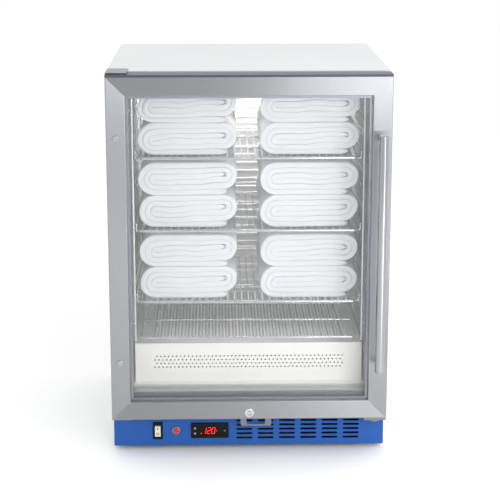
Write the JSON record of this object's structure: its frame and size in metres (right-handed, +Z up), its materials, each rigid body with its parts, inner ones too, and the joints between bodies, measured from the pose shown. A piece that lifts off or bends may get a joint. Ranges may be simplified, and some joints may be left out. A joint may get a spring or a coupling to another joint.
{
  "type": "hot towel cabinet",
  "caption": "Free-standing hot towel cabinet with a glazed, locking stainless door, wire shelves of folded towels, and a fan heater and controls behind a blue kick panel.",
  "frame": {"origin": "on the floor, below the middle of the whole cabinet", "axes": "+Z up, +X to the right as seen from the front, and the door faces -Y"},
  "size_m": [0.6, 0.625, 0.85],
  "materials": {
    "casing_paint": "satin",
    "stainless_brushed": "satin",
    "liner_stainless": "satin",
    "blue_paint": "satin",
    "chrome_wire": "polished",
    "zinc_steel": "satin",
    "black_plastic": "matte",
    "ivory_plastic": "gloss",
    "slate_plastic": "matte",
    "red_lens": "gloss",
    "display_window": "gloss",
    "lamp_diffuser": "satin",
    "glass": "gloss",
    "aluminium_spacer": "satin",
    "gasket_rubber": "matte",
    "glass_wool": "matte",
    "towel_cotton": "matte",
    "element_sheath": "satin"
  },
  "bodies": {
    "root": {"top_panel": "casing_paint", "side_panels": "casing_paint", "back_panel": "zinc_steel", "base_pan": "zinc_steel", "cord_bushing": "black_plastic", "body_screws": "zinc_steel", "insulation": "glass_wool", "liner_sides": "liner_stainless", "liner_top": "liner_stainless", "liner_floor": "liner_stainless", "liner_back": "liner_stainless", "lamp_housing": "zinc_steel", "lamp_lens": "lamp_diffuser", "kick_panel": "blue_paint", "switch_bezel": "black_plastic", "pilot_lamp_bezel": "chrome_wire", "pilot_lamp_lens": "red_lens", "controller_case": "black_plastic", "controller_window": "display_window", "heater_cover": "liner_stainless", "fan_motor": "zinc_steel", "heating_element": "element_sheath", "floor_grille": "chrome_wire", "side_racks": "chrome_wire", "shelf_supports": "chrome_wire", "temperature_probe": "zinc_steel", "hinge_plates": "stainless_brushed", "spare_hinge_bracket": "stainless_brushed", "lock_catch": "stainless_brushed"},
    "door": {"door_rail_top": "stainless_brushed", "door_rail_bottom": "stainless_brushed", "door_stile_hinge": "stainless_brushed", "door_stile_handle": "stainless_brushed", "door_top_cap": "slate_plastic", "glass_panes": "glass", "glass_spacer": "aluminium_spacer", "door_inner_frame": "stainless_brushed", "door_gasket": "gasket_rubber", "handle_bar": "stainless_brushed", "handle_posts": "stainless_brushed", "door_plugs": "stainless_brushed", "lock_housing": "chrome_wire"},
    "lock": {"lock_plug": "chrome_wire"},
    "fan": {"fan_blade": "zinc_steel"},
    "rocker": {"switch_rocker": "ivory_plastic"},
    "up_key": {"key_up": "black_plastic"},
    "down_key": {"key_down": "black_plastic"},
    "set_key": {"key_set": "black_plastic"},
    "top_shelf": {"shelf_top": "chrome_wire", "towels_top": "towel_cotton"},
    "middle_shelf": {"shelf_middle": "chrome_wire", "towels_middle": "towel_cotton"},
    "lower_shelf": {"shelf_lower": "chrome_wire", "towels_lower": "towel_cotton"},
    "front_left_foot": {"foot_front_left": "zinc_steel"},
    "front_right_foot": {"foot_front_right": "zinc_steel"},
    "rear_left_foot": {"foot_rear_left": "zinc_steel"},
    "rear_right_foot": {"foot_rear_right": "zinc_steel"}
  },
  "joints": [
    {"name": "door_hinge", "type": "hinge", "parent": "root", "child": "door", "pos_m": [-0.2885, -0.24, 0.45], "axis": [0, 0, -1], "range_deg": [0, 110]},
    {"name": "lock_turn", "type": "hinge", "parent": "door", "child": "lock", "pos_m": [0, -0.25, 0.1054], "axis": [0, 1, 0], "range_deg": [0, 90]},
    {"name": "fan_spin", "type": "hinge", "parent": "root", "child": "fan", "pos_m": [0, 0.0489, 0.2], "axis": [0, 0, 1], "continuous": true},
    {"name": "rocker_tilt", "type": "hinge", "parent": "root", "child": "rocker", "pos_m": [-0.203, -0.2055, 0.045], "axis": [1, 0, 0], "range_deg": [-16, 0]},
    {"name": "up_key_press", "type": "slide", "parent": "root", "child": "up_key", "axis": [0, 1, 0], "range_m": [0, 0.0008], "stiffness_N_per_m": 800},
    {"name": "down_key_press", "type": "slide", "parent": "root", "child": "down_key", "axis": [0, 1, 0], "range_m": [0, 0.0008], "stiffness_N_per_m": 800},
    {"name": "set_key_press", "type": "slide", "parent": "root", "child": "set_key", "axis": [0, 1, 0], "range_m": [0, 0.0008], "stiffness_N_per_m": 800},
    {"name": "top_shelf_slide", "type": "slide", "parent": "root", "child": "top_shelf", "axis": [0, -1, 0], "range_m": [0, 0.087]},
    {"name": "middle_shelf_slide", "type": "slide", "parent": "root", "child": "middle_shelf", "axis": [0, -1, 0], "range_m": [0, 0.087]},
    {"name": "lower_shelf_slide", "type": "slide", "parent": "root", "child": "lower_shelf", "axis": [0, -1, 0], "range_m": [0, 0.087]},
    {"name": "front_left_foot_screw", "type": "hinge", "parent": "root", "child": "front_left_foot", "pos_m": [-0.255, -0.1625, 0.01], "axis": [0, 0, 1], "continuous": true},
    {"name": "front_right_foot_screw", "type": "hinge", "parent": "root", "child": "front_right_foot", "pos_m": [0.255, -0.1625, 0.01], "axis": [0, 0, 1], "continuous": true},
    {"name": "rear_left_foot_screw", "type": "hinge", "parent": "root", "child": "rear_left_foot", "pos_m": [-0.255, 0.2675, 0.01], "axis": [0, 0, 1], "continuous": true},
    {"name": "rear_right_foot_screw", "type": "hinge", "parent": "root", "child": "rear_right_foot", "pos_m": [0.255, 0.2675, 0.01], "axis": [0, 0, 1], "continuous": true}
  ],
  "couplings": [
    {"joint": "top_shelf_slide", "follows": "door_hinge", "m_per_rad": 0.045},
    {"joint": "middle_shelf_slide", "follows": "door_hinge", "m_per_rad": 0.045},
    {"joint": "lower_shelf_slide", "follows": "door_hinge", "m_per_rad": 0.045}
  ]
}
